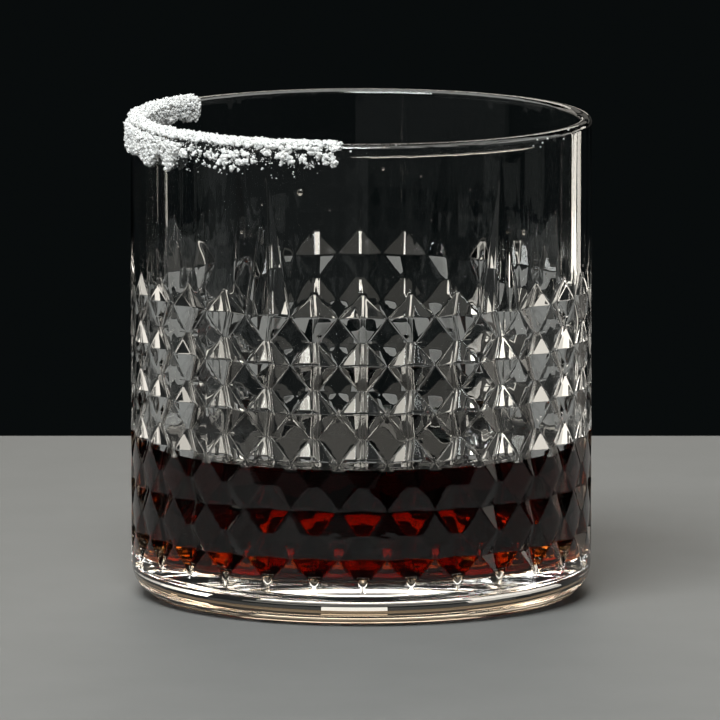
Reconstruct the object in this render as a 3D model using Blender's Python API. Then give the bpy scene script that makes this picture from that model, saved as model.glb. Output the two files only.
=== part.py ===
"""Sazerac in a pressed-glass tumbler with a white sugar crust on part of the rim.

Metres, +Z up. The origin is the centre of the base and the front faces -Y.
Angles are turned from -Y towards +X.
"""

from math import cos, exp, pi, radians, sin

import bmesh
import bpy
from mathutils import Vector, noise

GAP = 0.0003  # clearance kept between solids that touch

# Tumbler
OUTER_RADIUS = 0.042
HEIGHT = 0.0875
LIP_WALL = 0.0024
FLOOR_HEIGHT = 0.0075
FLOOR_RADIUS = 0.0385
FLOOR_CORNER = 0.003
FOOT_EDGE_WIDTH = 0.005
FOOT_EDGE_HEIGHT = 0.0062
ARC_STEPS = 5

# Pressed diamond pattern: pits touch corner to corner, flats lie between them
COLUMNS = 30
ROWS = 6
ROW_PITCH = 0.00875
TOP_ROW_HEIGHT = 0.0561
PIT_DEPTH = 0.0015
PATTERN_TURN = radians(0.37)
SPIKE_EVERY = 5
SPIKE_OFFSET = 3
SPIKE_TOP = 0.0815

# Drink
DRINK_LEVEL = 0.0271
MENISCUS_RISE = 0.0009
MENISCUS_REACH = 0.0011

# Sugar crust on the rim
CRUST_START = radians(-132)
CRUST_END = radians(-4.7)
CRUST_STATIONS = 66
CRUST_LEG_STEPS = 4
CRUST_ARC_STEPS = 5
CRUST_CORE = 0.0007
CRUST_LUMP = 0.0006
CRUST_EDGE = 0.35  # share of the thickness left at the edges and ends
CRUST_END_SHARE = 0.06  # share of the length over which an end fades
LUMP_SIZE = 0.0024
OUTER_REACH = 0.0026
INNER_REACH = 0.0016
# clump that hangs from the rim: angle in degrees, extra reach, half-width in degrees
OUTER_CLUMPS = (
    (-78, 0.0038, 11), (-67, 0.0040, 5), (-56, 0.0044, 3), (-46, 0.0016, 3),
    (-38, 0.0013, 3), (-30, 0.0019, 5), (-19, 0.0014, 2), (-14.5, 0.0012, 2),
    (-7.5, 0.0013, 2),
)
INNER_CLUMPS = ((-128, 0.0030, 6), (-115, 0.0028, 6), (-102, 0.0018, 5))

SEGMENTS = 2 * COLUMNS
LIP_RADIUS = LIP_WALL / 2
LIP_CENTRE = OUTER_RADIUS - LIP_RADIUS


def polar(radius, angle, height):
    """Point at an angle turned from -Y towards +X."""
    return Vector((radius * sin(angle), -radius * cos(angle), height))


def half_column_angle(index):
    """Angle of a half column; even ones pass through the pits' apexes."""
    return PATTERN_TURN + index * pi / COLUMNS


def inner_radius(height):
    """Radius of the tapered inner wall at a height."""
    share = (height - FLOOR_HEIGHT) / (HEIGHT - LIP_RADIUS - FLOOR_HEIGHT)
    return FLOOR_RADIUS + share * (OUTER_RADIUS - LIP_WALL - FLOOR_RADIUS)


def arc(centre, radii, start, end, steps):
    """Radius and height of points along an elliptic arc, ends included."""
    points = []
    for step in range(steps + 1):
        turn = start + (end - start) * step / steps
        points.append((centre[0] + radii[0] * cos(turn), centre[1] + radii[1] * sin(turn)))
    return points


def floor_corner(inset):
    """Inner corner between wall and floor, top to bottom, moved inwards by inset."""
    centre = (FLOOR_RADIUS - FLOOR_CORNER, FLOOR_HEIGHT + FLOOR_CORNER)
    size = FLOOR_CORNER - inset
    return arc(centre, (size, size), 0, -pi / 2, ARC_STEPS)


def add_ring(mesh, radius, height):
    """One vertex on each half column."""
    return [mesh.verts.new(polar(radius, half_column_angle(i), height)) for i in range(SEGMENTS)]


def bridge(mesh, lower, upper):
    """Quads between two rings."""
    for i in range(SEGMENTS):
        after = (i + 1) % SEGMENTS
        mesh.faces.new((lower[i], lower[after], upper[after], upper[i]))


def fan(mesh, ring, height):
    """Close a ring with a vertex on the axis."""
    centre = mesh.verts.new((0, 0, height))
    for i in range(SEGMENTS):
        mesh.faces.new((ring[i], ring[(i + 1) % SEGMENTS], centre))


def sweep(mesh, ring, profile):
    """Carry a ring along radius and height pairs and return the last one."""
    for radius, height in profile:
        following = add_ring(mesh, radius, height)
        bridge(mesh, ring, following)
        ring = following
    return ring


def four_facets(mesh, left, top, right, bottom, centre):
    """Diamond of four triangles round its middle."""
    for first, second in ((right, top), (top, left), (left, bottom), (bottom, right)):
        mesh.faces.new((centre, first, second))


def pattern_vertices(mesh):
    """Apexes on the even half columns and side corners on the odd ones."""
    apexes = {}
    corners = {}
    for column in range(COLUMNS):
        for row in range(ROWS + 1):
            height = TOP_ROW_HEIGHT + (0.5 - row) * ROW_PITCH
            if row == 0 and column % SPIKE_EVERY == SPIKE_OFFSET:
                height = SPIKE_TOP
            angle = half_column_angle(2 * column)
            apexes[column, row] = mesh.verts.new(polar(OUTER_RADIUS, angle, height))
        for row in range(ROWS):
            angle = half_column_angle(2 * column + 1)
            height = TOP_ROW_HEIGHT - row * ROW_PITCH
            corners[column, row] = mesh.verts.new(polar(OUTER_RADIUS, angle, height))
    return apexes, corners


def add_diamonds(mesh, apexes, corners):
    """Sunk pits and the flush flats between them."""
    for column in range(COLUMNS):
        before = (column - 1) % COLUMNS
        after = (column + 1) % COLUMNS
        pit_angle = half_column_angle(2 * column)
        flat_angle = half_column_angle(2 * column + 1)
        for row in range(ROWS):
            height = TOP_ROW_HEIGHT - row * ROW_PITCH
            pit = mesh.verts.new(polar(OUTER_RADIUS - PIT_DEPTH, pit_angle, height))
            four_facets(mesh, corners[before, row], apexes[column, row],
                        corners[column, row], apexes[column, row + 1], pit)
        for row in range(ROWS - 1):
            height = TOP_ROW_HEIGHT - (row + 0.5) * ROW_PITCH
            flat = mesh.verts.new(polar(OUTER_RADIUS, flat_angle, height))
            four_facets(mesh, apexes[column, row + 1], corners[column, row],
                        apexes[after, row + 1], corners[column, row + 1], flat)


def zigzag(apexes, corners, apex_row, corner_row):
    """Edge of the pattern, one vertex on each half column."""
    edge = []
    for column in range(COLUMNS):
        edge += [apexes[column, apex_row], corners[column, corner_row]]
    return edge


def tumbler_mesh():
    """Patterned outer wall, rounded lip, hollow and thick base."""
    mesh = bmesh.new()
    apexes, corners = pattern_vertices(mesh)
    add_diamonds(mesh, apexes, corners)

    lip = arc((LIP_CENTRE, HEIGHT - LIP_RADIUS), (LIP_RADIUS, LIP_RADIUS), 0, pi, 2 * ARC_STEPS)
    shoulder = sweep(mesh, zigzag(apexes, corners, 0, 0), lip)
    fan(mesh, sweep(mesh, shoulder, floor_corner(0)), FLOOR_HEIGHT)

    foot_centre = (OUTER_RADIUS - FOOT_EDGE_WIDTH, FOOT_EDGE_HEIGHT)
    foot = arc(foot_centre, (FOOT_EDGE_WIDTH, FOOT_EDGE_HEIGHT), 0, -pi / 2, ARC_STEPS)
    fan(mesh, sweep(mesh, zigzag(apexes, corners, ROWS, ROWS - 1), foot), 0)
    return mesh


def drink_mesh():
    """Drink up to its level, drawn up a little where it meets the wall."""
    mesh = bmesh.new()
    edge = inner_radius(DRINK_LEVEL) - GAP
    surface = []
    for share in (0, 0.4, 1, 2, 4):
        rise = MENISCUS_RISE * exp(-share)
        surface.append((edge - share * MENISCUS_REACH, DRINK_LEVEL + rise))
    top = add_ring(mesh, *surface[0])
    fan(mesh, sweep(mesh, top, surface[1:]), DRINK_LEVEL)
    fan(mesh, sweep(mesh, top, floor_corner(GAP)), FLOOR_HEIGHT + GAP)
    return mesh


def reach(angle, least, clumps):
    """How far the crust comes down from the lip at an angle."""
    extra = 0
    for centre, size, half_width in clumps:
        extra = max(extra, size * exp(-((angle - radians(centre)) / radians(half_width)) ** 2))
    return least + extra


def lip_path(angle, fade):
    """Points hugging the lip from outside to inside, each with its outward direction."""
    path = []
    lip_height = HEIGHT - LIP_RADIUS
    outer = lip_height - fade * reach(angle, OUTER_REACH - LIP_RADIUS, OUTER_CLUMPS)
    inner = lip_height - fade * reach(angle, INNER_REACH - LIP_RADIUS, INNER_CLUMPS)
    for step in range(CRUST_LEG_STEPS):
        height = outer + (lip_height - outer) * step / CRUST_LEG_STEPS
        path.append((OUTER_RADIUS + GAP, height, 0))
    for step in range(CRUST_ARC_STEPS + 1):
        turn = pi * step / CRUST_ARC_STEPS
        size = LIP_RADIUS + GAP
        path.append((LIP_CENTRE + size * cos(turn), lip_height + size * sin(turn), turn))
    for step in range(1, CRUST_LEG_STEPS + 1):
        height = lip_height + (inner - lip_height) * step / CRUST_LEG_STEPS
        path.append((inner_radius(height) - GAP, height, pi))
    return path


def end_fade(along):
    """Share of its full size that the crust has towards either end."""
    nearest_end = min(along, 1 - along)
    return CRUST_EDGE + (1 - CRUST_EDGE) * min(1, nearest_end / CRUST_END_SHARE)


def crust_thickness(point, fade, across):
    """Lumpy thickness that thins out at the ends and at both lower edges."""
    lump = noise.noise(point / LUMP_SIZE) + 0.5 * noise.noise(point * 2.3 / LUMP_SIZE)
    edges = CRUST_EDGE + (1 - CRUST_EDGE) * sin(pi * across) ** 0.6
    return max(CRUST_CORE / 2, CRUST_CORE + CRUST_LUMP * lump) * edges * fade


def crust_mesh():
    """Craggy saddle of sugar over the lip, closed on all sides."""
    mesh = bmesh.new()
    inside = []
    outside = []
    for station in range(CRUST_STATIONS + 1):
        along = station / CRUST_STATIONS
        angle = CRUST_START + (CRUST_END - CRUST_START) * along
        fade = end_fade(along)
        path = lip_path(angle, fade)
        near = []
        far = []
        for index, (radius, height, turn) in enumerate(path):
            across = index / (len(path) - 1)
            thickness = crust_thickness(polar(radius, angle, height), fade, across)
            near.append(mesh.verts.new(polar(radius, angle, height)))
            far.append(mesh.verts.new(polar(radius + thickness * cos(turn), angle,
                                            height + thickness * sin(turn))))
        inside.append(near)
        outside.append(far)
    for station in range(CRUST_STATIONS):
        loop_a = outside[station] + inside[station][::-1]
        loop_b = outside[station + 1] + inside[station + 1][::-1]
        for i in range(len(loop_a)):
            after = (i + 1) % len(loop_a)
            mesh.faces.new((loop_a[i], loop_b[i], loop_b[after], loop_a[after]))
    for near, far in ((inside[0], outside[0]), (inside[-1], outside[-1])):
        for i in range(len(near) - 1):
            mesh.faces.new((near[i], near[i + 1], far[i + 1], far[i]))
    return mesh


def add_part(name, mesh, material, smooth_angle):
    """Turn a finished bmesh into a named object with its own material."""
    bmesh.ops.recalc_face_normals(mesh, faces=mesh.faces)
    data = bpy.data.meshes.new(name)
    mesh.to_mesh(data)
    mesh.free()
    data.shade_smooth()
    data.set_sharp_from_angle(angle=smooth_angle)
    data.materials.append(material)
    bpy.context.collection.objects.link(bpy.data.objects.new(name, data))


def make_material(name, colour, roughness, transmission, ior):
    """Principled material."""
    material = bpy.data.materials.new(name)
    material.use_nodes = True
    shader = material.node_tree.nodes["Principled BSDF"]
    shader.inputs["Base Color"].default_value = (*colour, 1.0)
    shader.inputs["Roughness"].default_value = roughness
    shader.inputs["Metallic"].default_value = 0.0
    shader.inputs["Transmission Weight"].default_value = transmission
    shader.inputs["IOR"].default_value = ior
    return material


def main():
    for old in list(bpy.data.objects):
        bpy.data.objects.remove(old, do_unlink=True)
    clear_glass = make_material("clear_glass", (0.95, 0.97, 0.96), 0.02, 1.0, 1.52)
    rye_drink = make_material("rye_drink", (0.13, 0.02, 0.006), 0.05, 0.3, 1.36)
    white_sugar = make_material("white_sugar", (0.90, 0.89, 0.86), 0.65, 0.0, 1.54)
    add_part("tumbler", tumbler_mesh(), clear_glass, radians(14))
    add_part("drink", drink_mesh(), rye_drink, radians(35))
    add_part("rim_crust", crust_mesh(), white_sugar, radians(60))


main()
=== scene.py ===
import math
import random

import bmesh
import bpy
from mathutils import Matrix, Vector, noise


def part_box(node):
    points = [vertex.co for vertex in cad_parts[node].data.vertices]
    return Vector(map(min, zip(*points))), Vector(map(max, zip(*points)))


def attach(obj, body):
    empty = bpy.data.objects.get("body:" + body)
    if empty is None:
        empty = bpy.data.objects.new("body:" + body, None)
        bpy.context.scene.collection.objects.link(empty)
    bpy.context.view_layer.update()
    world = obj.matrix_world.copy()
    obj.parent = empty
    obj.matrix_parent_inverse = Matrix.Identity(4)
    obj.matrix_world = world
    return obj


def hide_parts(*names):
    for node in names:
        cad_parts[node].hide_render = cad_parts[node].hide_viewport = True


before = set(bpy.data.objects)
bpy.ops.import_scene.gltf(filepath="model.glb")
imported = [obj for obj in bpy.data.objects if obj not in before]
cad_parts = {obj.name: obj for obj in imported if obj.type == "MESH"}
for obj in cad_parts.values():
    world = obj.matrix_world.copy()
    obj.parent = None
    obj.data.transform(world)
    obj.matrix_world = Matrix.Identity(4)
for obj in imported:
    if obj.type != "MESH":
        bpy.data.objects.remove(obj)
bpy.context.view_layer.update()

mm = 0.001
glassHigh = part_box("tumbler")[1]


def polar(radius, angle, height):
    # angles turn from the front, -Y, towards +X
    return Vector((radius * math.sin(angle), -radius * math.cos(angle), height))


def arcPoints(centre, radii, start, end, steps):
    points = []
    for step in range(steps + 1):
        turn = math.radians(start + (end - start) * step / steps)
        points.append((centre[0] + radii[0] * math.cos(turn),
                       centre[1] + radii[1] * math.sin(turn)))
    return points


def meshObject(name, verts, faces, smooth=True):
    data = bpy.data.meshes.new(name)
    data.from_pydata(verts, [], faces)
    data.update()
    if smooth:
        data.shade_smooth()
    made = bpy.data.objects.new(name, data)
    bpy.context.collection.objects.link(made)
    return made


def discard(thing):
    bpy.data.objects.remove(thing, do_unlink=True)


# camera
view = {
    "distance": 52.0 * 42.0 * mm,     # 52 radii of the glass
    "elevation": 8.3,
    "lens": 598.9,
    "sensor": 36.0,
    "lookHeight": 42.6 * mm,
    "lookSide": -0.24 * mm,
}


def makeCamera():
    data = bpy.data.cameras.new("camera")
    data.lens = view["lens"]
    data.sensor_width = view["sensor"]
    data.clip_start = 0.05
    data.clip_end = 30.0
    made = bpy.data.objects.new("camera", data)
    tilt = math.radians(view["elevation"])
    away = view["distance"]
    made.location = (
        view["lookSide"], -away * math.cos(tilt), view["lookHeight"] + away * math.sin(tilt))
    made.rotation_euler = (math.radians(90.0) - tilt, 0.0, 0.0)
    bpy.context.collection.objects.link(made)
    bpy.context.scene.camera = made


makeCamera()
print("camera placed")


# node helpers
def newMaterial(name):
    material = bpy.data.materials.new(name)
    material.use_nodes = True
    nodes = material.node_tree.nodes
    return material, nodes, material.node_tree.links, nodes["Principled BSDF"]


def addNode(nodes, kind, **values):
    made = nodes.new(kind)
    for key, value in values.items():
        if key in made.inputs:
            made.inputs[key].default_value = value
        else:
            setattr(made, key, value)
    return made


def newGroup(name, inputs, outputs):
    group = bpy.data.node_groups.new(name, "ShaderNodeTree")
    for label, kind, value in inputs:
        socket = group.interface.new_socket(label, in_out="INPUT", socket_type=kind)
        socket.default_value = value
    for label, kind in outputs:
        group.interface.new_socket(label, in_out="OUTPUT", socket_type=kind)
    entry = group.nodes.new("NodeGroupInput")
    leave = group.nodes.new("NodeGroupOutput")
    return group, group.nodes, group.links, entry, leave


def placeGroup(nodes, group, values):
    made = nodes.new("ShaderNodeGroup")
    made.node_tree = group
    for label, value in values.items():
        made.inputs[label].default_value = value
    return made


def rippleGroup():
    # soft unevenness of pressed glass and of a thin liquid skin
    group, nodes, links, entry, leave = newGroup(
        "surfaceRipple",
        [("Size", "NodeSocketFloat", 90.0), ("Stretch", "NodeSocketFloat", 0.4),
         ("Depth", "NodeSocketFloat", 0.2), ("Reach", "NodeSocketFloat", 0.0002)],
        [("Normal", "NodeSocketVector"), ("Mask", "NodeSocketFloat")])
    coords = nodes.new("ShaderNodeTexCoord")
    combine = nodes.new("ShaderNodeCombineXYZ")
    combine.inputs["X"].default_value = 1.0
    combine.inputs["Y"].default_value = 1.0
    links.new(entry.outputs["Stretch"], combine.inputs["Z"])
    mapping = nodes.new("ShaderNodeVectorMath")
    mapping.operation = "MULTIPLY"
    links.new(coords.outputs["Object"], mapping.inputs[0])
    links.new(combine.outputs["Vector"], mapping.inputs[1])
    waves = addNode(nodes, "ShaderNodeTexNoise", Detail=1.5, Roughness=0.4)
    links.new(mapping.outputs["Vector"], waves.inputs["Vector"])
    links.new(entry.outputs["Size"], waves.inputs["Scale"])
    bump = nodes.new("ShaderNodeBump")
    links.new(entry.outputs["Depth"], bump.inputs["Strength"])
    links.new(entry.outputs["Reach"], bump.inputs["Distance"])
    links.new(waves.outputs["Fac"], bump.inputs["Height"])
    links.new(bump.outputs["Normal"], leave.inputs["Normal"])
    links.new(waves.outputs["Fac"], leave.inputs["Mask"])
    return group


def crystalGroup():
    # broken faces of sugar crystals: colour, roughness and a fine relief
    group, nodes, links, entry, leave = newGroup(
        "crystalBreakup",
        [("Light Colour", "NodeSocketColor", (0.9, 0.9, 0.88, 1.0)),
         ("Damp Colour", "NodeSocketColor", (0.7, 0.66, 0.6, 1.0)),
         ("Crystal Size", "NodeSocketFloat", 2600.0), ("Patch Size", "NodeSocketFloat", 260.0),
         ("Relief", "NodeSocketFloat", 0.5)],
        [("Color", "NodeSocketColor"), ("Roughness", "NodeSocketFloat"),
         ("Normal", "NodeSocketVector")])
    coords = nodes.new("ShaderNodeTexCoord")
    cells = nodes.new("ShaderNodeTexVoronoi")
    links.new(coords.outputs["Object"], cells.inputs["Vector"])
    links.new(entry.outputs["Crystal Size"], cells.inputs["Scale"])
    patches = addNode(nodes, "ShaderNodeTexNoise", Detail=3.0)
    links.new(coords.outputs["Object"], patches.inputs["Vector"])
    links.new(entry.outputs["Patch Size"], patches.inputs["Scale"])
    share = addNode(nodes, "ShaderNodeMapRange")
    for label, value in (("From Min", 0.52), ("From Max", 0.75), ("To Min", 0.0), ("To Max", 0.8)):
        share.inputs[label].default_value = value
    links.new(patches.outputs["Fac"], share.inputs["Value"])
    mix = nodes.new("ShaderNodeMix")
    mix.data_type = "RGBA"
    links.new(share.outputs["Result"], mix.inputs["Factor"])
    links.new(entry.outputs["Light Colour"], mix.inputs["A"])
    links.new(entry.outputs["Damp Colour"], mix.inputs["B"])
    shine = addNode(nodes, "ShaderNodeMapRange")
    shine.inputs["To Min"].default_value = 0.25
    shine.inputs["To Max"].default_value = 0.75
    links.new(cells.outputs["Color"], shine.inputs["Value"])
    bump = addNode(nodes, "ShaderNodeBump", Distance=0.00015)
    links.new(entry.outputs["Relief"], bump.inputs["Strength"])
    links.new(cells.outputs["Distance"], bump.inputs["Height"])
    links.new(mix.outputs["Result"], leave.inputs["Color"])
    links.new(shine.outputs["Result"], leave.inputs["Roughness"])
    links.new(bump.outputs["Normal"], leave.inputs["Normal"])
    return group


surfaceRipple = rippleGroup()
crystalBreakup = crystalGroup()


# materials
def glassMaterial(name, ior):
    material, nodes, links, shader = newMaterial(name)
    shader.inputs["Base Color"].default_value = (0.985, 0.992, 0.988, 1.0)
    shader.inputs["Metallic"].default_value = 0.0
    shader.inputs["Transmission Weight"].default_value = 1.0
    shader.inputs["IOR"].default_value = ior
    ripple = placeGroup(nodes, surfaceRipple, {"Size": 85.0, "Stretch": 0.35, "Depth": 0.06})
    links.new(ripple.outputs["Normal"], shader.inputs["Normal"])
    polish = addNode(nodes, "ShaderNodeMapRange")
    polish.inputs["To Min"].default_value = 0.0
    polish.inputs["To Max"].default_value = 0.02
    links.new(ripple.outputs["Mask"], polish.inputs["Value"])
    links.new(polish.outputs["Result"], shader.inputs["Roughness"])
    return material


def drinkMaterial(name, ior):
    material, nodes, links, shader = newMaterial(name)
    shader.inputs["Base Color"].default_value = (1.0, 0.97, 0.94, 1.0)
    shader.inputs["Roughness"].default_value = 0.0
    shader.inputs["Metallic"].default_value = 0.0
    shader.inputs["Transmission Weight"].default_value = 1.0
    shader.inputs["IOR"].default_value = ior
    ripple = placeGroup(nodes, surfaceRipple, {"Size": 60.0, "Stretch": 1.0, "Depth": 0.03})
    links.new(ripple.outputs["Normal"], shader.inputs["Normal"])
    depth = nodes.new("ShaderNodeVolumeAbsorption")
    depth.inputs["Color"].default_value = (0.78, 0.46, 0.02, 1.0)
    depth.inputs["Density"].default_value = 260.0
    links.new(depth.outputs["Volume"], nodes["Material Output"].inputs["Volume"])
    return material


def sugarMaterial(name, light, damp, crystalSize, relief):
    material, nodes, links, shader = newMaterial(name)
    shader.inputs["Metallic"].default_value = 0.0
    shader.inputs["IOR"].default_value = 1.54
    shader.inputs["Subsurface Weight"].default_value = 0.35
    shader.inputs["Subsurface Radius"].default_value = (1.0, 0.95, 0.9)
    shader.inputs["Subsurface Scale"].default_value = 0.0006
    crystals = placeGroup(nodes, crystalBreakup, {
        "Light Colour": (*light, 1.0), "Damp Colour": (*damp, 1.0),
        "Crystal Size": crystalSize, "Relief": relief})
    links.new(crystals.outputs["Color"], shader.inputs["Base Color"])
    links.new(crystals.outputs["Roughness"], shader.inputs["Roughness"])
    links.new(crystals.outputs["Normal"], shader.inputs["Normal"])
    return material


# light bends once where glass and drink touch: all of it on the glass, none on the drink's side
glassIor = 1.52
drinkIor = 1.36
clearGlass = glassMaterial("clearPressedGlass", glassIor)
wettedGlass = glassMaterial("wettedGlass", glassIor / drinkIor)
ryeDrink = drinkMaterial("ryeDrink", drinkIor)
ryeDrinkAtWall = drinkMaterial("ryeDrinkAtWall", 1.0)
crustSugar = sugarMaterial("crustSugar", (0.96, 0.96, 0.95), (0.90, 0.89, 0.86), 2400.0, 0.4)
grainSugar = sugarMaterial("grainSugar", (0.97, 0.97, 0.96), (0.93, 0.92, 0.90), 3600.0, 0.3)
print("materials mixed")


# tumbler
tumbler = {
    "outerRadius": glassHigh.y,
    "height": glassHigh.z,
    "lipWall": 2.4 * mm,
    "floorHeight": 7.5 * mm,
    "floorRadius": 38.5 * mm,
    "floorCorner": 3.0 * mm,
    "footWidth": 5.0 * mm,
    "footHeight": 6.2 * mm,
    "puntHeight": 1.3 * mm,
    "columns": 30,
    "rows": 6,
    "rowPitch": 8.75 * mm,
    "topRow": 56.1 * mm,
    "turn": math.radians(0.37),
    "pitDepth": 1.5 * mm,
    "pitHalfWidth": 4.2 * mm,
    "pitHalfHeight": 5.25 * mm,       # inner rows run into each other over a short ridge
    "endHalfHeight": 4.4 * mm,        # upper half of the top row, lower half of the last
    "spikeEvery": 5,
    "spikeOffset": 3,
    "spikeHeight": 25.4 * mm,
    "uprightCrease": 0.42 * mm,       # radius of the broad crease that runs up each pit
    "levelCrease": 0.05 * mm,
    "edgeRound": 0.065,               # as a share of the pit's depth
}
drink = {
    "level": 27.1 * mm,
    "intoWall": 0.15 * mm,
    "climb": 1.0 * mm,
    "climbReach": 1.3 * mm,
    "segments": 300,
}
wettedTop = drink["level"] + drink["climb"]
lipRadius = tumbler["lipWall"] / 2
columnPitch = 2 * math.pi * tumbler["outerRadius"] / tumbler["columns"]
shoulderHeight = tumbler["height"] - lipRadius


def innerRadius(height):
    share = (height - tumbler["floorHeight"]) / (shoulderHeight - tumbler["floorHeight"])
    rim = tumbler["outerRadius"] - tumbler["lipWall"]
    return tumbler["floorRadius"] + share * (rim - tumbler["floorRadius"])


def softened(value, radius):
    return math.sqrt(value * value + radius * radius) - radius


def pitDepth(across, up, halfHeight):
    # four facets that meet in the middle, with softened creases and a rolled edge
    t = tumbler
    upright, flat = t["uprightCrease"], t["levelCrease"]
    level = (1 - softened(across, upright) / softened(t["pitHalfWidth"], upright)
             - softened(up, flat) / softened(halfHeight, flat))
    roll = t["edgeRound"]
    if abs(level) < roll:
        level = (level + roll) ** 2 / (4 * roll)
    return t["pitDepth"] * max(level, 0.0)


def stations(up, halfHeight):
    # lines across a half column that follow the pit's slanting edge
    half = columnPitch / 2
    edge = max(tumbler["pitHalfWidth"] * (1 - up / halfHeight), 0.6 * mm)
    crease = min(0.95 * mm, 0.55 * edge)
    inside = edge - min(0.27 * mm, 0.3 * edge)
    outside = edge + min(0.27 * mm, 0.5 * (half - edge))
    right = [0.0, 0.24 * crease, 0.55 * crease, crease]
    right += [inside, edge, outside, (outside + half) / 2, half]
    return [-x for x in reversed(right[1:])] + right


def cellMesh(name, lines):
    # lines hold (stations, offsets from the outer wall, heights); neighbours are joined by quads
    verts = []
    faces = []
    for across, offsets, height in lines:
        for x, offset in zip(across, offsets):
            verts.append((x, offset, height))
    count = len(lines[0][0])
    for row in range(len(lines) - 1):
        for i in range(count - 1):
            first = row * count + i
            faces.append((first, first + 1, first + count + 1, first + count))
    return meshObject(name, verts, faces)


def pitLines(crease, ups, halfHeight, direction):
    lines = []
    for up in ups:
        across = stations(up, halfHeight)
        offsets = [-pitDepth(x, up, halfHeight) for x in across]
        lines.append((across, offsets, crease + direction * up))
    return lines


def plainLines(across, section):
    # the rest of the section, as radius and height pairs
    return [(across, [radius - tumbler["outerRadius"]] * len(across), height)
            for radius, height in section]


def rowCell():
    # from one crease down to the next: a lower half pit, the ridge and an upper half pit
    half = tumbler["rowPitch"] / 2
    ups = [0, 0.12 * mm, 0.4 * mm, 1.6 * mm, 3.2 * mm, half - 0.12 * mm]
    down = pitLines(0, ups, tumbler["pitHalfHeight"], -1)
    ridge = pitLines(0, [half - 0.03 * mm], tumbler["pitHalfHeight"], -1)
    middle = [(ridge[0][0], ridge[0][1], -half)]
    up = [(across, offsets, -tumbler["rowPitch"] - height) for across, offsets, height in down]
    return cellMesh("rowCell", (down + middle + up[::-1])[::-1])


def crownCell(name, halfHeight):
    # from the top crease up the wall, over the lip, down inside and across the floor
    t = tumbler
    top = shoulderHeight - t["topRow"]
    ups = [0, 0.12 * mm, 0.4 * mm, 1.6 * mm, 3.2 * mm, 4.0 * mm, 4.4 * mm, 4.8 * mm, 6.5 * mm]
    ups += [x * mm for x in (9, 12, 15, 18, 21, 23, 24.4, 25.4, 26.2)]
    lines = pitLines(t["topRow"], ups, halfHeight, 1)
    across = lines[-1][0]
    lipCentre = (t["outerRadius"] - lipRadius, shoulderHeight)
    section = [(t["outerRadius"], t["topRow"] + (top + 26.2 * mm) / 2)]
    section += arcPoints(lipCentre, (lipRadius, lipRadius), 0, 180, 12)
    cornerTop = t["floorHeight"] + t["floorCorner"]
    for share in (0.25, 0.5, 0.75):
        height = shoulderHeight + (wettedTop - shoulderHeight) * share
        section.append((innerRadius(height), height))
    section.append((innerRadius(wettedTop), wettedTop))
    for share in (0.33, 0.67):
        height = wettedTop + (cornerTop - wettedTop) * share
        section.append((innerRadius(height), height))
    cornerCentre = (t["floorRadius"] - t["floorCorner"], cornerTop)
    section += arcPoints(cornerCentre, (t["floorCorner"], t["floorCorner"]), 0, -90, 7)
    for share in (0.75, 0.45, 0.15, 0.0):
        section.append((cornerCentre[0] * share, t["floorHeight"]))
    return cellMesh(name, lines + plainLines(across, section))


def footCell():
    # from the last crease down over the rounded foot to the middle of the base
    t = tumbler
    lastRow = t["topRow"] - (t["rows"] - 1) * t["rowPitch"]
    ups = [0, 0.12 * mm, 0.4 * mm, 1.6 * mm, 3.2 * mm, 4.0 * mm, 4.4 * mm, 4.8 * mm]
    lines = pitLines(lastRow, ups, t["endHalfHeight"], -1)
    across = lines[-1][0]
    footCentre = (t["outerRadius"] - t["footWidth"], t["footHeight"])
    section = arcPoints(footCentre, (t["footWidth"], t["footHeight"]), 0, -90, 10)
    for share in (0.93, 0.86, 0.75, 0.6, 0.45, 0.3, 0.15, 0.0):
        section.append((footCentre[0] * share, t["puntHeight"] * (1 - (share / 0.96) ** 2)))
    return cellMesh("footCell", (lines + plainLines(across, section))[::-1])


def geometryTree(name, inputs):
    tree = bpy.data.node_groups.new(name, "GeometryNodeTree")
    for label, kind, value in inputs:
        socket = tree.interface.new_socket(label, in_out="INPUT", socket_type=kind)
        if value is not None:
            socket.default_value = value
    tree.interface.new_socket("Geometry", in_out="OUTPUT", socket_type="NodeSocketGeometry")
    entry = tree.nodes.new("NodeGroupInput")
    leave = tree.nodes.new("NodeGroupOutput")
    return tree, tree.nodes, tree.links, entry, leave


def maths(nodes, links, operation, first, second):
    made = nodes.new("ShaderNodeMath")
    made.operation = operation
    for socket, value in zip(made.inputs, (first, second)):
        if isinstance(value, (int, float)):
            socket.default_value = value
        elif value is not None:
            links.new(value, socket)
    return made.outputs["Value"]


def runTree(name, tree, values):
    # evaluate a tree on an empty object and keep the result as a plain mesh
    carrier = meshObject(name + "Carrier", [], [])
    modifier = carrier.modifiers.new("build", "NODES")
    modifier.node_group = tree
    for item in tree.interface.items_tree:
        if item.in_out == "INPUT" and item.name in values:
            modifier[item.identifier] = values[item.name]
    graph = bpy.context.evaluated_depsgraph_get()
    data = bpy.data.meshes.new_from_object(carrier.evaluated_get(graph))
    data.name = name
    data.materials.clear()
    data.materials.append(values["Material"])
    data.polygons.foreach_set("material_index", [0] * len(data.polygons))
    discard(carrier)
    made = bpy.data.objects.new(name, data)
    bpy.context.collection.objects.link(made)
    return made


def keepFacetsFlat(thing):
    # big faces decide the normals, so that facets stay flat up to their rolled edges
    modifier = thing.modifiers.new("facets", "WEIGHTED_NORMAL")
    modifier.mode = "FACE_AREA"
    modifier.weight = 60
    modifier.keep_sharp = False
    graph = bpy.context.evaluated_depsgraph_get()
    plain = bpy.data.meshes.new_from_object(thing.evaluated_get(graph))
    plain.name = thing.name
    thing.modifiers.clear()
    thing.data = plain


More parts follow.
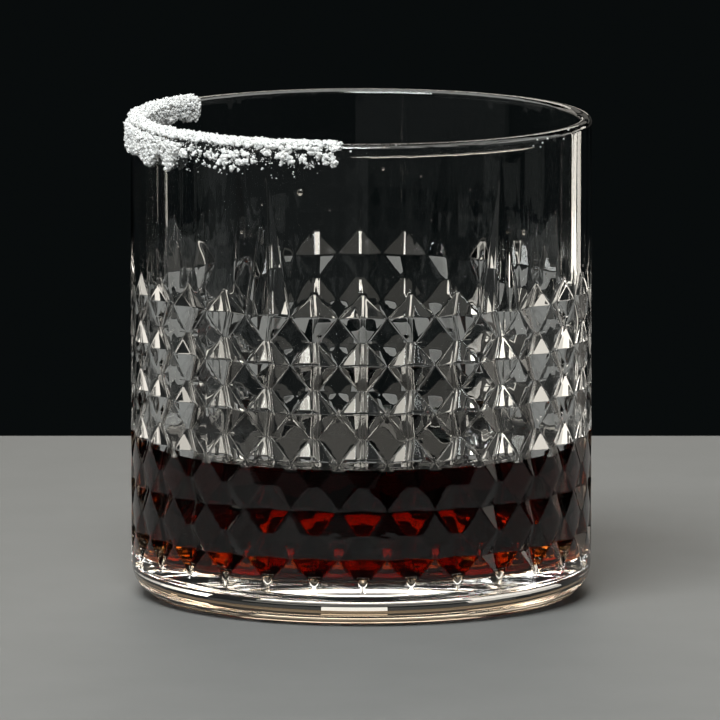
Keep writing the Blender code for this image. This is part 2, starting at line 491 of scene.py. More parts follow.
def bendTree():
    # sets the cells side by side, row by row, then bends the flat wall into a round one
    tree, nodes, links, entry, leave = geometryTree("cutWall", [
        ("Row Cell", "NodeSocketObject", None), ("Crown Cell", "NodeSocketObject", None),
        ("Spike Cell", "NodeSocketObject", None), ("Foot Cell", "NodeSocketObject", None),
        ("Columns", "NodeSocketInt", 30), ("Rows Between Creases", "NodeSocketInt", 5),
        ("Column Pitch", "NodeSocketFloat", 0.0088), ("Row Pitch", "NodeSocketFloat", 0.00875),
        ("Top Row", "NodeSocketFloat", 0.056), ("Radius", "NodeSocketFloat", 0.042),
        ("Turn", "NodeSocketFloat", 0.0), ("Spike Every", "NodeSocketInt", 5),
        ("Spike Offset", "NodeSocketInt", 3), ("Material", "NodeSocketMaterial", None)])
    use = entry.outputs

    def cell(label):
        info = nodes.new("GeometryNodeObjectInfo")
        links.new(use[label], info.inputs["Object"])
        asInstance = nodes.new("GeometryNodeGeometryToInstance")
        links.new(info.outputs["Geometry"], asInstance.inputs[0])
        return asInstance.outputs[0]

    def lineOf(count, axis, pitch):
        line = nodes.new("GeometryNodeMeshLine")
        links.new(count, line.inputs["Count"])
        offset = nodes.new("ShaderNodeCombineXYZ")
        links.new(pitch, offset.inputs[axis])
        links.new(offset.outputs["Vector"], line.inputs["Offset"])
        return line

    def placed(points, instance, pick=None):
        made = nodes.new("GeometryNodeInstanceOnPoints")
        links.new(points, made.inputs["Points"])
        links.new(instance, made.inputs["Instance"])
        if pick is not None:
            made.inputs["Pick Instance"].default_value = True
            links.new(pick, made.inputs["Instance Index"])
        return made.outputs["Instances"]

    columnLine = lineOf(use["Columns"], "X", use["Column Pitch"])
    down = maths(nodes, links, "MULTIPLY", use["Row Pitch"], -1.0)
    rowLine = lineOf(use["Rows Between Creases"], "Z", down)
    start = nodes.new("ShaderNodeCombineXYZ")
    links.new(use["Top Row"], start.inputs["Z"])
    links.new(start.outputs["Vector"], rowLine.inputs["Start Location"])

    index = nodes.new("GeometryNodeInputIndex")
    wrapped = maths(nodes, links, "MODULO", index.outputs["Index"], use["Spike Every"])
    isSpike = nodes.new("FunctionNodeCompare")
    isSpike.data_type = "FLOAT"
    isSpike.operation = "EQUAL"
    links.new(wrapped, isSpike.inputs["A"])
    links.new(use["Spike Offset"], isSpike.inputs["B"])

    crowns = nodes.new("GeometryNodeJoinGeometry")
    links.new(cell("Spike Cell"), crowns.inputs[0])  # the last one linked comes first
    links.new(cell("Crown Cell"), crowns.inputs[0])
    crownRing = placed(columnLine.outputs["Mesh"], crowns.outputs[0], isSpike.outputs["Result"])
    footRing = placed(columnLine.outputs["Mesh"], cell("Foot Cell"))
    rowStack = placed(rowLine.outputs["Mesh"], cell("Row Cell"))
    stackInstance = nodes.new("GeometryNodeGeometryToInstance")
    links.new(rowStack, stackInstance.inputs[0])
    rowRing = placed(columnLine.outputs["Mesh"], stackInstance.outputs[0])

    together = nodes.new("GeometryNodeJoinGeometry")
    for part in (crownRing, rowRing, footRing):
        links.new(part, together.inputs[0])
    real = nodes.new("GeometryNodeRealizeInstances")
    links.new(together.outputs[0], real.inputs[0])

    position = nodes.new("GeometryNodeInputPosition")
    parts = nodes.new("ShaderNodeSeparateXYZ")
    links.new(position.outputs["Position"], parts.inputs["Vector"])
    angle = maths(nodes, links, "DIVIDE", parts.outputs["X"], use["Radius"])
    angle = maths(nodes, links, "ADD", angle, use["Turn"])
    radius = maths(nodes, links, "ADD", parts.outputs["Y"], use["Radius"])
    side = maths(nodes, links, "MULTIPLY", radius, maths(nodes, links, "SINE", angle, None))
    front = maths(nodes, links, "MULTIPLY", radius, maths(nodes, links, "COSINE", angle, None))
    bent = nodes.new("ShaderNodeCombineXYZ")
    links.new(side, bent.inputs["X"])
    links.new(maths(nodes, links, "MULTIPLY", front, -1.0), bent.inputs["Y"])
    links.new(parts.outputs["Z"], bent.inputs["Z"])
    move = nodes.new("GeometryNodeSetPosition")
    links.new(real.outputs[0], move.inputs["Geometry"])
    links.new(bent.outputs["Vector"], move.inputs["Position"])

    merge = nodes.new("GeometryNodeMergeByDistance")
    merge.inputs["Distance"].default_value = 2e-6
    links.new(move.outputs["Geometry"], merge.inputs["Geometry"])
    smooth = nodes.new("GeometryNodeSetShadeSmooth")
    links.new(merge.outputs["Geometry"], smooth.inputs["Geometry"])
    paint = nodes.new("GeometryNodeSetMaterial")
    links.new(smooth.outputs["Geometry"], paint.inputs["Geometry"])
    links.new(use["Material"], paint.inputs["Material"])
    links.new(paint.outputs["Geometry"], leave.inputs["Geometry"])
    return tree


def makeTumbler():
    t = tumbler
    cells = {
        "Row Cell": rowCell(),
        "Crown Cell": crownCell("crownCell", t["endHalfHeight"]),
        "Spike Cell": crownCell("spikeCell", t["spikeHeight"]),
        "Foot Cell": footCell(),
    }
    values = dict(cells)
    values.update({
        "Columns": t["columns"], "Rows Between Creases": t["rows"] - 1,
        "Column Pitch": columnPitch, "Row Pitch": t["rowPitch"], "Top Row": t["topRow"],
        "Radius": t["outerRadius"], "Turn": t["turn"], "Spike Every": t["spikeEvery"],
        "Spike Offset": t["spikeOffset"], "Material": clearGlass})
    made = runTree("tumblerGlass", bendTree(), values)
    for thing in cells.values():
        discard(thing)
    keepFacetsFlat(made)
    made.data.materials.append(wettedGlass)
    for face in made.data.polygons:
        middle = face.center
        inside = math.hypot(middle.x, middle.y) < innerRadius(middle.z) + 0.1 * mm
        if inside and t["floorHeight"] - 0.1 * mm < middle.z < wettedTop:
            face.material_index = 1
    return made


tumblerGlass = makeTumbler()
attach(tumblerGlass, "root")
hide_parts("tumbler")
print("tumbler pressed")


# drink
def turnedMesh(name, profile, segments):
    # radius and height pairs turned round the axis; the first and last lie on it
    verts = []
    faces = []
    for radius, height in profile[1:-1]:
        for i in range(segments):
            verts.append(polar(radius, 2 * math.pi * i / segments, height))
    rings = len(profile) - 2
    for ring in range(rings - 1):
        for i in range(segments):
            after = (i + 1) % segments
            low, high = ring * segments, (ring + 1) * segments
            faces.append((low + i, low + after, high + after, high + i))
    first, last = len(verts), len(verts) + 1
    verts += [(0, 0, profile[0][1]), (0, 0, profile[-1][1])]
    for i in range(segments):
        after = (i + 1) % segments
        faces.append((first, after, i))
        faces.append((last, (rings - 1) * segments + i, (rings - 1) * segments + after))
    return meshObject(name, verts, faces)


def makeDrink():
    d = drink
    t = tumbler
    into = d["intoWall"]
    corner = t["floorCorner"]
    centre = (t["floorRadius"] - corner, t["floorHeight"] + corner)
    profile = [(share * centre[0], t["floorHeight"] - into) for share in (0.0, 0.3, 0.7)]
    profile += arcPoints(centre, (corner + into, corner + into), -90, 0, 8)
    for share in (0.17, 0.33, 0.5, 0.67, 0.83, 1.0):
        height = centre[1] + (wettedTop - centre[1]) * share
        profile.append((innerRadius(height) + into, height))
    sideRings = len(profile) - 1
    wall = innerRadius(wettedTop)
    for share in (0.0, 0.15, 0.3, 0.5, 0.75, 1.0, 1.4, 1.9, 2.5, 3.3, 4.3, 5.5, 7.0):
        profile.append((wall - share * d["climbReach"], d["level"] + d["climb"] * math.exp(-share)))
    profile += [((wall - 7.0 * d["climbReach"]) * share, d["level"]) for share in (0.6, 0.2, 0.0)]
    made = turnedMesh("drinkBody", profile, d["segments"])
    made.data.materials.append(ryeDrink)
    made.data.materials.append(ryeDrinkAtWall)
    sideFaces = sideRings * d["segments"]
    middleFan = (len(profile) - 3) * d["segments"]
    for face in made.data.polygons:
        underneath = face.index >= middleFan and face.center.z < d["level"] / 2
        if face.index < sideFaces or underneath:
            face.material_index = 1
    return made


drinkBody = makeDrink()
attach(drinkBody, "root")
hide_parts("drink")
print("drink poured")


# sugar crust
crust = {
    "start": -131.5,
    "end": -4.7,
    "splits": (-100.0, -64.0),        # three pieces, so that none grows too heavy
    "stepsPerDegree": 3,
    "lowOutside": 7.6 * mm,
    "lowInside": 4.6 * mm,
    "bandDrop": (0.62 * mm, 1.0 * mm),    # outer edge of the band, heavy side and light side
    "bandInside": 0.9 * mm,
    "bandThick": 0.62 * mm,
    "apronThick": 0.75 * mm,
    "clumpThick": 0.5 * mm,
    "insideThick": 0.6 * mm,
    "perArea": 15.0e6,
    "bead": 0.20 * mm,
    "voxel": 0.13 * mm,
    "seed": 11,
    "fineLump": 0.55 * mm,            # sizes of the unevenness in the sugar's depth
    "broadLump": 1.7 * mm,
    "rimSteps": 110,                  # stations from the low edge outside to the one inside
}
# lower edge of the apron on the heavy side: angle and drop below the rim in millimetres
apronEdge = (
    (-132.0, 1.0), (-120.0, 3.4), (-105.0, 4.6), (-90.0, 5.4), (-80.0, 5.9), (-72.0, 5.6),
    (-66.0, 6.6), (-62.5, 6.2), (-60.5, 4.3), (-58.8, 3.6), (-57.6, 5.6), (-55.5, 6.9),
    (-53.2, 6.2), (-51.8, 3.6), (-50.6, 2.4), (-49.6, 1.0),
)
# upper edge of the apron, below a dark gap under the band
apronTop = ((-132.0, 0.8), (-90.0, 0.8), (-70.0, 1.0), (-60.0, 1.35), (-49.6, 1.9))
# how far the sugar comes down inside the wall
insideEdge = (
    (-132.0, 3.6), (-126.0, 4.2), (-121.0, 3.0), (-117.0, 3.9), (-108.0, 3.7), (-100.0, 2.4),
    (-92.0, 1.2), (-80.0, 0.9), (-5.0, 0.8),
)
# clumps on the outside below the lip: angle, drop, width and height in millimetres
crustClumps = (
    (-49.4, 3.4, 2.2, 1.5), (-46.6, 2.2, 1.0, 1.0), (-45.3, 3.1, 0.8, 0.8), (-43.7, 2.6, 0.9, 1.4),
    (-41.6, 3.2, 0.8, 0.8), (-39.6, 3.0, 2.0, 1.9), (-37.2, 4.2, 1.0, 1.0), (-35.5, 3.7, 2.0, 1.8),
    (-36.2, 2.2, 1.0, 0.8), (-32.9, 2.7, 2.2, 1.6), (-33.4, 5.0, 0.8, 1.4), (-30.4, 3.8, 2.3, 1.2),
    (-29.9, 2.2, 1.4, 1.0), (-27.2, 3.5, 1.0, 1.7), (-23.8, 1.8, 1.9, 1.3), (-19.0, 2.2, 2.6, 1.9),
    (-19.9, 3.7, 0.7, 1.1), (-17.2, 3.2, 0.9, 1.2), (-14.6, 2.8, 1.1, 1.7), (-13.6, 3.6, 0.7, 0.8),
    (-10.9, 1.7, 1.6, 1.1), (-12.6, 1.4, 1.6, 0.9), (-7.9, 2.6, 2.3, 2.1), (-6.4, 3.5, 1.1, 1.1),
    (-4.6, 2.1, 0.7, 1.2), (-27.0, 4.9, 0.35, 0.4), (-24.6, 4.6, 0.35, 0.4), (-10.6, 3.3, 0.5, 0.5),
    (-41.8, 4.6, 0.35, 0.4), (-39.9, 5.1, 0.4, 0.35), (-38.2, 5.2, 0.35, 0.4),
    (-36.9, 5.5, 0.4, 0.4), (-35.8, 5.1, 0.35, 0.35), (-45.0, 4.4, 0.35, 0.35),
    (-43.0, 4.2, 0.4, 0.35), (-31.4, 5.2, 0.4, 0.5),
)


def wallStation(travel):
    # radius and height on the rim's section; travel is the drop outside and runs over the
    # lip to negative values inside
    arcLength = math.pi * lipRadius
    if travel > lipRadius:
        return tumbler["outerRadius"], tumbler["height"] - travel
    below = lipRadius - travel
    if below < arcLength:
        turn = below / lipRadius
        return (tumbler["outerRadius"] - lipRadius + lipRadius * math.cos(turn),
                shoulderHeight + lipRadius * math.sin(turn))
    height = shoulderHeight - (below - arcLength)
    return innerRadius(height), height


def along(table, degrees):
    # straight-line reading of a table of angle and value pairs
    for (firstAngle, first), (nextAngle, after) in zip(table, table[1:]):
        if degrees <= nextAngle:
            share = max(0.0, (degrees - firstAngle) / (nextAngle - firstAngle))
            return first + (after - first) * share
    return table[-1][1]


def clamped(value):
    return max(0.0, min(1.0, value))


def sugarDepth(degrees, travel, point):
    # how thick the sugar lies at a place, 0 for none
    c = crust
    fine = noise.noise(point / c["fineLump"])
    wobble = noise.noise(point / c["broadLump"]) * 0.6 + fine * 0.4
    heavy = clamped((-45.0 - degrees) / 30.0)
    outer = c["bandDrop"][1] + (c["bandDrop"][0] - c["bandDrop"][1]) * heavy
    inside = -travel - math.pi * lipRadius + 2 * lipRadius
    band = 0.0
    if travel < outer * (1 + 0.35 * wobble) and inside < c["bandInside"] * (1 + 0.4 * wobble):
        band = c["bandThick"] * (0.75 + 0.5 * wobble + 0.35 * heavy)
    depth = band
    if travel > 0:
        top = along(apronTop, degrees) * mm * (1 + 0.12 * fine)
        edge = along(apronEdge, degrees) * mm * (1 + 0.10 * wobble)
        if top < travel < edge:
            lift = clamped(min(travel - top, edge - travel) / (0.5 * mm))
            depth = max(depth, c["apronThick"] * (0.45 + 0.65 * lift) * (1 + 0.5 * wobble))
        for angle, drop, width, height in crustClumps:
            across = math.radians(degrees - angle) * tumbler["outerRadius"] / (0.5 * width * mm)
            if abs(across) < 1.6:
                down = (travel - drop * mm) / (0.5 * height * mm)
                spread = math.hypot(across, down) - 0.45 * fine - 0.25 * wobble
                if spread < 1.0:
                    size = clamped(min(width, height) / 1.4)
                    depth = max(depth, c["clumpThick"] * size * (1.15 - spread * spread))
    elif inside > 0:
        edge = along(insideEdge, degrees) * mm * (1 + 0.25 * wobble)
        if inside < edge:
            depth = max(depth, c["insideThick"] * (1.0 + 0.6 * wobble))
    ends = min(degrees - c["start"], c["end"] - degrees) / 0.9 + 0.6 * wobble
    return depth * clamped(ends)


def crustCarrier(start, end):
    # the skin of the glass between two angles, with the sugar's depth stored on it
    c = crust
    lip = math.pi * lipRadius
    total = (c["lowOutside"] - lipRadius) + lip + c["lowInside"]
    steps = c["rimSteps"]
    count = round((end - start) * c["stepsPerDegree"])
    verts = []
    faces = []
    depths = []
    for i in range(count + 1):
        degrees = start + (end - start) * i / count
        for j in range(steps + 1):
            travel = c["lowOutside"] - total * j / steps
            radius, height = wallStation(travel)
            point = polar(radius, math.radians(degrees), height)
            verts.append(point)
            depths.append(sugarDepth(degrees, travel, point))
    for i in range(count):
        for j in range(steps):
            first = i * (steps + 1) + j
            faces.append((first, first + steps + 1, first + steps + 2, first + 1))
    made = meshObject("crustCarrier", verts, faces)
    attribute = made.data.attributes.new("depth", "FLOAT", "POINT")
    attribute.data.foreach_set("value", depths)
    return made


def namedFloat(nodes, label):
    made = nodes.new("GeometryNodeInputNamedAttribute")
    made.data_type = "FLOAT"
    made.inputs["Name"].default_value = label
    return made.outputs["Attribute"]


def randomFloat(nodes, low, high, seed):
    made = nodes.new("FunctionNodeRandomValue")
    made.data_type = "FLOAT"
    for socket in made.inputs:
        if socket.name == "Min" and socket.type == "VALUE":
            socket.default_value = low
        if socket.name == "Max" and socket.type == "VALUE":
            socket.default_value = high
    made.inputs["Seed"].default_value = seed
    for socket in made.outputs:
        if socket.type == "VALUE":
            return socket


def crustTree():
    # beads of sugar heaped on the carrier and grown together into one lumpy body
    tree, nodes, links, entry, leave = geometryTree("sugarHeap", [
        ("Carrier", "NodeSocketObject", None), ("Density", "NodeSocketFloat", 1e7),
        ("Bead", "NodeSocketFloat", 0.0003), ("Voxel", "NodeSocketFloat", 0.00015),
        ("Seed", "NodeSocketInt", 1), ("Material", "NodeSocketMaterial", None)])
    use = entry.outputs
    info = nodes.new("GeometryNodeObjectInfo")
    links.new(use["Carrier"], info.inputs["Object"])
    scatter = nodes.new("GeometryNodeDistributePointsOnFaces")
    links.new(info.outputs["Geometry"], scatter.inputs["Mesh"])
    covered = maths(nodes, links, "GREATER_THAN", namedFloat(nodes, "depth"), 0.00006)
    dense = maths(nodes, links, "MULTIPLY", use["Density"], covered)
    links.new(dense, scatter.inputs["Density"])
    links.new(use["Seed"], scatter.inputs["Seed"])
    share = randomFloat(nodes, 0.0, 1.0, 3)
    away = maths(nodes, links, "MULTIPLY", namedFloat(nodes, "depth"), share)
    offset = nodes.new("ShaderNodeVectorMath")
    offset.operation = "SCALE"
    links.new(scatter.outputs["Normal"], offset.inputs[0])
    links.new(away, offset.inputs["Scale"])
    lift = nodes.new("GeometryNodeSetPosition")
    links.new(scatter.outputs["Points"], lift.inputs["Geometry"])
    links.new(offset.outputs["Vector"], lift.inputs["Offset"])
    size = maths(nodes, links, "MULTIPLY", use["Bead"], randomFloat(nodes, 0.7, 1.5, 5))
    cloud = nodes.new("GeometryNodePointsToVolume")
    cloud.resolution_mode = "VOXEL_SIZE"
    links.new(lift.outputs["Geometry"], cloud.inputs["Points"])
    links.new(use["Voxel"], cloud.inputs["Voxel Size"])
    links.new(size, cloud.inputs["Radius"])
    skin = nodes.new("GeometryNodeVolumeToMesh")
    skin.resolution_mode = "GRID"
    links.new(cloud.outputs["Volume"], skin.inputs["Volume"])
    skin.inputs["Threshold"].default_value = 0.2
    skin.inputs["Adaptivity"].default_value = 0.15
    smooth = nodes.new("GeometryNodeSetShadeSmooth")
    links.new(skin.outputs["Mesh"], smooth.inputs["Geometry"])
    paint = nodes.new("GeometryNodeSetMaterial")
    links.new(smooth.outputs["Geometry"], paint.inputs["Geometry"])
    links.new(use["Material"], paint.inputs["Material"])
    links.new(paint.outputs["Geometry"], leave.inputs["Geometry"])
    return tree


grains = {
    "size": 0.24 * mm,
    "perArea": 8.0e6,
    "seed": 23,
    "dustEnds": (-62.0, -9.0),        # fine grains strewn over the glass under the band
    "dustDrop": (1.2 * mm, 6.4 * mm),
    "dustSize": 0.17 * mm,
    "dustPerArea": 9.0e6,
}


def crystal(name, seed):
    # one small broken cube of sugar
    draw = random.Random(seed)
    made = bmesh.new()
    bmesh.ops.create_cube(made, size=1.0)
    for vert in made.verts:
        vert.co = Vector([axis * draw.uniform(0.65, 1.15) for axis in vert.co])
    data = bpy.data.meshes.new(name)
    made.to_mesh(data)
    made.free()
    thing = bpy.data.objects.new(name, data)
    bpy.context.collection.objects.link(thing)
    return thing


def grainTree():
    # loose crystals over a surface, turned and sized at random
    tree, nodes, links, entry, leave = geometryTree("looseGrains", [
        ("Ground", "NodeSocketObject", None), ("Crystal A", "NodeSocketObject", None),
        ("Crystal B", "NodeSocketObject", None), ("Density", "NodeSocketFloat", 1e6),
        ("Size", "NodeSocketFloat", 0.0003), ("Seed", "NodeSocketInt", 1),
        ("Material", "NodeSocketMaterial", None)])
    use = entry.outputs
    ground = nodes.new("GeometryNodeObjectInfo")
    links.new(use["Ground"], ground.inputs["Object"])
    scatter = nodes.new("GeometryNodeDistributePointsOnFaces")
    links.new(ground.outputs["Geometry"], scatter.inputs["Mesh"])
    links.new(use["Density"], scatter.inputs["Density"])
    links.new(use["Seed"], scatter.inputs["Seed"])
    shapes = nodes.new("GeometryNodeJoinGeometry")
    for label in ("Crystal A", "Crystal B"):
        info = nodes.new("GeometryNodeObjectInfo")
        links.new(use[label], info.inputs["Object"])
        asInstance = nodes.new("GeometryNodeGeometryToInstance")
        links.new(info.outputs["Geometry"], asInstance.inputs[0])
        links.new(asInstance.outputs[0], shapes.inputs[0])
    turn = nodes.new("FunctionNodeRandomValue")
    turn.data_type = "FLOAT_VECTOR"
    turn.inputs["Max"].default_value = (6.28, 6.28, 6.28)
    spread = nodes.new("GeometryNodeInstanceOnPoints")
    spread.inputs["Pick Instance"].default_value = True
    links.new(scatter.outputs["Points"], spread.inputs["Points"])
    links.new(shapes.outputs[0], spread.inputs["Instance"])
    links.new(turn.outputs["Value"], spread.inputs["Rotation"])
    size = maths(nodes, links, "MULTIPLY", use["Size"], randomFloat(nodes, 0.45, 1.3, 7))
    links.new(size, spread.inputs["Scale"])
    real = nodes.new("GeometryNodeRealizeInstances")
    links.new(spread.outputs["Instances"], real.inputs[0])
    paint = nodes.new("GeometryNodeSetMaterial")
    links.new(real.outputs[0], paint.inputs["Geometry"])
    links.new(use["Material"], paint.inputs["Material"])
    links.new(paint.outputs["Geometry"], leave.inputs["Geometry"])
    return tree


def dustGround():
    # scraps of the outer wall that caught fine grains: many near the heavy side, few below
    first, last = grains["dustEnds"]
    top, bottom = grains["dustDrop"]
    across, down = 260, 26
    verts = []
    faces = []
    for i in range(across + 1):
        degrees = first + (last - first) * i / across
        for j in range(down + 1):
            radius, height = wallStation(top + (bottom - top) * j / down)
            verts.append(polar(radius, math.radians(degrees), height))
    for i in range(across):
        for j in range(down):
            first = i * (down + 1) + j
            place = verts[first]
            patch = 0.6 * noise.noise(place / (1.3 * mm)) + 0.4 * noise.noise(place / (0.5 * mm))
            if patch > -0.16 + 0.40 * j / down + 0.12 * i / across:
                faces.append((first, first + down + 1, first + down + 2, first + 1))
    return meshObject("dustGround", verts, faces)


def makeCrust():
    c = crust
    heap = crustTree()
    scatter = grainTree()
    kinds = [crystal("crystalA", 4), crystal("crystalB", 9)]
    pieces = []
    ends = (c["start"], *c["splits"], c["end"])
    for side, (label, start, end) in enumerate(zip(("Back", "Side", "Front"), ends, ends[1:])):
        carrier = crustCarrier(start, end)
        body = runTree("crust" + label, heap, {
            "Carrier": carrier, "Density": c["perArea"], "Bead": c["bead"],
            "Voxel": c["voxel"], "Seed": c["seed"] + side, "Material": crustSugar})
        pieces.append(body)
        pieces.append(runTree("grains" + label, scatter, {
            "Ground": body, "Crystal A": kinds[0], "Crystal B": kinds[1],
            "Density": grains["perArea"], "Size": grains["size"],
            "Seed": grains["seed"] + side, "Material": grainSugar}))
        discard(carrier)
    ground = dustGround()
    pieces.append(runTree("grainsLoose", scatter, {
        "Ground": ground, "Crystal A": kinds[0], "Crystal B": kinds[1],
        "Density": grains["dustPerArea"], "Size": grains["dustSize"],
        "Seed": grains["seed"] + 9, "Material": grainSugar}))
    discard(ground)
    for thing in kinds:
        discard(thing)
    return pieces


for piece in makeCrust():
    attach(piece, "root")
    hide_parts("rim_crust")
    triangles = sum(len(face.vertices) - 2 for face in piece.data.polygons)
    print("crust:", piece.name, triangles, "triangles")


# small traces of drink and sugar on the outside
traces = {
    "lineHeight": 85.3 * mm,
    "lineEnds": (-3.0, 48.0),
    "lineThick": 0.11 * mm,
    "lineTall": 0.16 * mm,
    "dropFlat": 0.4,
    "seed": 31,
}
# drops: angle, height and diameter in millimetres
drinkDrops = (
    (52.4, 62.0, 0.45), (54.9, 60.7, 0.4), (55.3, 59.2, 0.5), (56.7, 58.3, 0.4), (53.6, 59.8, 0.3),
    (-30.6, 71.0, 0.7), (-57.0, 67.8, 0.5), (-15.1, 78.8, 1.1), (-61.4, 65.6, 0.5),
    (56.2, 72.9, 0.35),
    (56.7, 71.4, 0.3), (56.2, 70.4, 0.35), (43.8, 70.2, 1.0), (5.3, 83.2, 0.6), (14.7, 81.7, 0.4),
    (17.3, 73.7, 0.3), (19.8, 67.9, 0.3), (74.9, 65.2, 0.4), (-25.0, 76.2, 0.35), (-7.7, 75.7, 0.3),
    (27.6, 78.8, 0.35), (36.3, 65.3, 0.4),
)
sugarCrumbs = (
    (48.8, 86.6, 0.35), (50.8, 85.9, 0.4), (52.8, 86.5, 0.45), (50.0, 85.2, 0.3), (47.3, 85.6, 0.3),
    (62.7, 87.3, 0.4), (60.1, 85.9, 0.35), (-2.6, 86.3, 0.45), (-1.2, 86.9, 0.3), (8.5, 87.4, 0.25),
)


def makeWetLine():
    # a thin uneven bead of drink under the lip
    t = traces
    first, last = t["lineEnds"]
    steps = 220
    corners = 8
    verts = []
    faces = []
    for step in range(steps + 1):
        share = step / steps
        degrees = first + (last - first) * share
        swing = noise.noise(Vector((degrees * 0.45, 3.0, 0.0)))
        height = t["lineHeight"] + 0.16 * mm * swing
        size = min(1.0, 0.1 + 8 * share, 0.1 + 8 * (1 - share))
        size *= 1 + 0.5 * noise.noise(Vector((degrees, 0.0, 7.0)))
        for corner in range(corners):
            turn = 2 * math.pi * corner / corners
            radius = tumbler["outerRadius"] + t["lineThick"] * size * math.cos(turn)
            level = height + t["lineTall"] * size * math.sin(turn)
            verts.append(polar(radius, math.radians(degrees), level))
    for step in range(steps):
        for corner in range(corners):
            low = step * corners
            after = (corner + 1) % corners
            faces.append((low + corner, low + corners + corner, low + corners + after, low + after))
    faces.append(tuple(range(corners)))
    faces.append(tuple(steps * corners + corner for corner in reversed(range(corners))))
    made = meshObject("wetLine", verts, faces)
    made.data.materials.append(ryeDrink)
    return made


def joinedShapes(name, places, shape, material):
    # one small shape at every place on the outer wall, turned to face outward
    draw = random.Random(traces["seed"])
    made = bmesh.new()
    for angle, height, width in places:
        angle = math.radians(angle)
        centre = polar(tumbler["outerRadius"], angle, height * mm)
        placing = Matrix.Translation(centre) @ Matrix.Rotation(angle, 4, "Z")
        shape(made, placing, width * mm, draw)
    data = bpy.data.meshes.new(name)
    made.to_mesh(data)
    made.free()
    data.shade_smooth()
    data.materials.append(material)
    thing = bpy.data.objects.new(name, data)
    bpy.context.collection.objects.link(thing)
    return thing


def dropShape(made, placing, width, draw):
    size = Matrix.Diagonal((width, width * traces["dropFlat"], width * draw.uniform(0.9, 1.2), 1.0))
    bmesh.ops.create_icosphere(made, subdivisions=3, radius=0.5, matrix=placing @ size)


def crumbShape(made, placing, width, draw):
    turn = Matrix.Rotation(draw.uniform(0, 3), 4, "X") @ Matrix.Rotation(draw.uniform(0, 3), 4, "Y")
    size = Matrix.Diagonal((width, width, width * draw.uniform(0.7, 1.1), 1.0))
    bmesh.ops.create_icosphere(made, subdivisions=1, radius=0.5, matrix=placing @ turn @ size)


for piece in (makeWetLine(), joinedShapes("drops", drinkDrops, dropShape, ryeDrink)):
    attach(piece, "root")
rimCrumbs = joinedShapes("rimCrumbs", sugarCrumbs, crumbShape, grainSugar)
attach(rimCrumbs, "root")
print("wet line, drops and crumbs added")


# floor, lights and dark surround
stage = {
    "backEdge": 188.0 * mm,
    "frontEdge": -144.0 * mm,
    "side": 420.0 * mm,
    "thickness": 20.0 * mm,
    "gap": 0.04 * mm,                 # air film under the glass
    "panelAway": 1.5,                 # metres from the middle of the glass
    "panelAim": 40.0 * mm,
    "surround": (0.45, 0.6, 0.62, 1.0),
    "surroundStrength": 0.006,
}


def floorMaterial():
    material, nodes, links, shader = newMaterial("greyFloor")
    grain = addNode(nodes, "ShaderNodeTexNoise", Scale=60.0, Detail=6.0)
    coords = nodes.new("ShaderNodeTexCoord")
    links.new(coords.outputs["Object"], grain.inputs["Vector"])
    tint = nodes.new("ShaderNodeMix")
    tint.data_type = "RGBA"
    tint.inputs["A"].default_value = (0.17, 0.17, 0.167, 1.0)
    tint.inputs["B"].default_value = (0.193, 0.193, 0.19, 1.0)
    links.new(grain.outputs["Fac"], tint.inputs["Factor"])
    links.new(tint.outputs["Result"], shader.inputs["Base Color"])
    shader.inputs["Roughness"].default_value = 0.6
    shader.inputs["Specular IOR Level"].default_value = 0.3
    return material


def makeFloor():
    s = stage
    top = -s["gap"]
    verts = [(x, y, z) for z in (top - s["thickness"], top)
             for y in (s["frontEdge"], s["backEdge"]) for x in (-s["side"], s["side"])]
    faces = [(0, 2, 3, 1), (4, 5, 7, 6), (0, 1, 5, 4), (2, 6, 7, 3), (0, 4, 6, 2), (1, 3, 7, 5)]
    made = meshObject("floor", verts, faces, smooth=False)
    made.data.materials.append(floorMaterial())


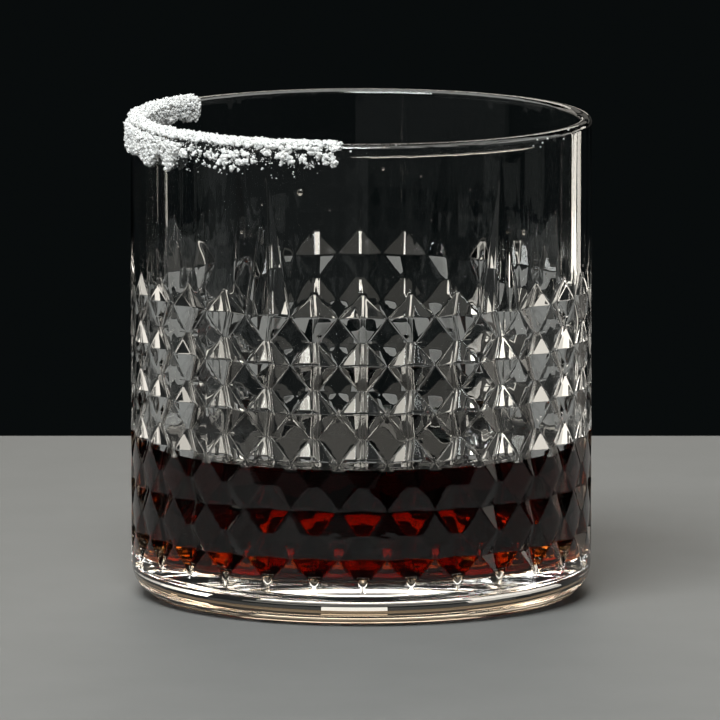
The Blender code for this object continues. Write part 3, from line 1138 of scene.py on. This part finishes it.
# angle from the front towards the right, rise, width and height in degrees, brightness
softboxes = {
    "keyBox": (-20.0, 55.0, 60.0, 26.0, 12.6),
    "backBox": (180.0, 31.0, 44.0, 18.0, 2.2),
    "middleBack": (180.0, 17.7, 40.0, 8.5, 0.26),
    "middleStrip": (180.0, 9.0, 44.0, 3.0, 0.12),
    "lowStrip": (179.0, 2.5, 11.0, 6.0, 0.75),
    "lowBack": (180.0, 0.0, 60.0, 8.0, 0.03),
    "leftBack": (-145.0, 16.0, 30.0, 12.0, 0.78),
    "leftLow": (-146.0, 7.0, 30.0, 6.0, 0.45),
    "leftSide": (-107.0, 6.0, 15.0, 4.0, 0.46),
    "rightBack": (146.0, 8.7, 8.0, 9.5, 2.35),
    "rightWide": (136.0, 8.7, 12.0, 9.5, 1.0),
    "rightStrip": (138.0, -8.0, 3.0, 14.0, 2.45),
    "rightSide": (115.0, 8.7, 30.0, 9.5, 0.6),
    "lowFront": (-40.0, -5.0, 90.0, 18.0, 0.048),
}
frontWhite = (0.97, 1.0, 0.985)       # daylight white before the glass
backWhite = (1.0, 0.94, 0.84)         # a slightly warmer white behind it


def softbox(name, angle, rise, wide, tall, brightness):
    # a lit panel that faces the middle of the glass
    reach = stage["panelAway"]
    middle = Vector((0.0, 0.0, stage["panelAim"]))
    rise = math.radians(rise)
    place = middle + polar(reach * math.cos(rise), math.radians(angle), reach * math.sin(rise))
    data = bpy.data.lights.new(name, "AREA")
    data.shape = "RECTANGLE"
    data.size = 2 * reach * math.cos(rise) * math.tan(math.radians(wide) / 2)
    data.size_y = 2 * reach * math.tan(math.radians(tall) / 2)
    data.energy = 4 * brightness * data.size * data.size_y
    data.color = frontWhite if abs(angle) < 90.0 else backWhite
    made = bpy.data.objects.new(name, data)
    made.location = place
    made.rotation_euler = (middle - place).to_track_quat("-Z", "Y").to_euler()
    made.visible_camera = False
    bpy.context.collection.objects.link(made)


def makeLights():
    for name, panel in softboxes.items():
        softbox(name, *panel)
    scene = bpy.context.scene
    world = bpy.data.worlds.new("studio")
    scene.world = world
    world.use_nodes = True
    backdrop = world.node_tree.nodes["Background"]
    backdrop.inputs["Color"].default_value = stage["surround"]
    backdrop.inputs["Strength"].default_value = stage["surroundStrength"]
    scene.view_settings.view_transform = "Standard"


makeFloor()
makeLights()
cycles = bpy.context.scene.cycles
cycles.max_bounces = 28
cycles.transmission_bounces = 26
cycles.glossy_bounces = 8
cycles.diffuse_bounces = 4
cycles.volume_bounces = 2
cycles.transparent_max_bounces = 12
cycles.use_denoising = True
print("stage set")
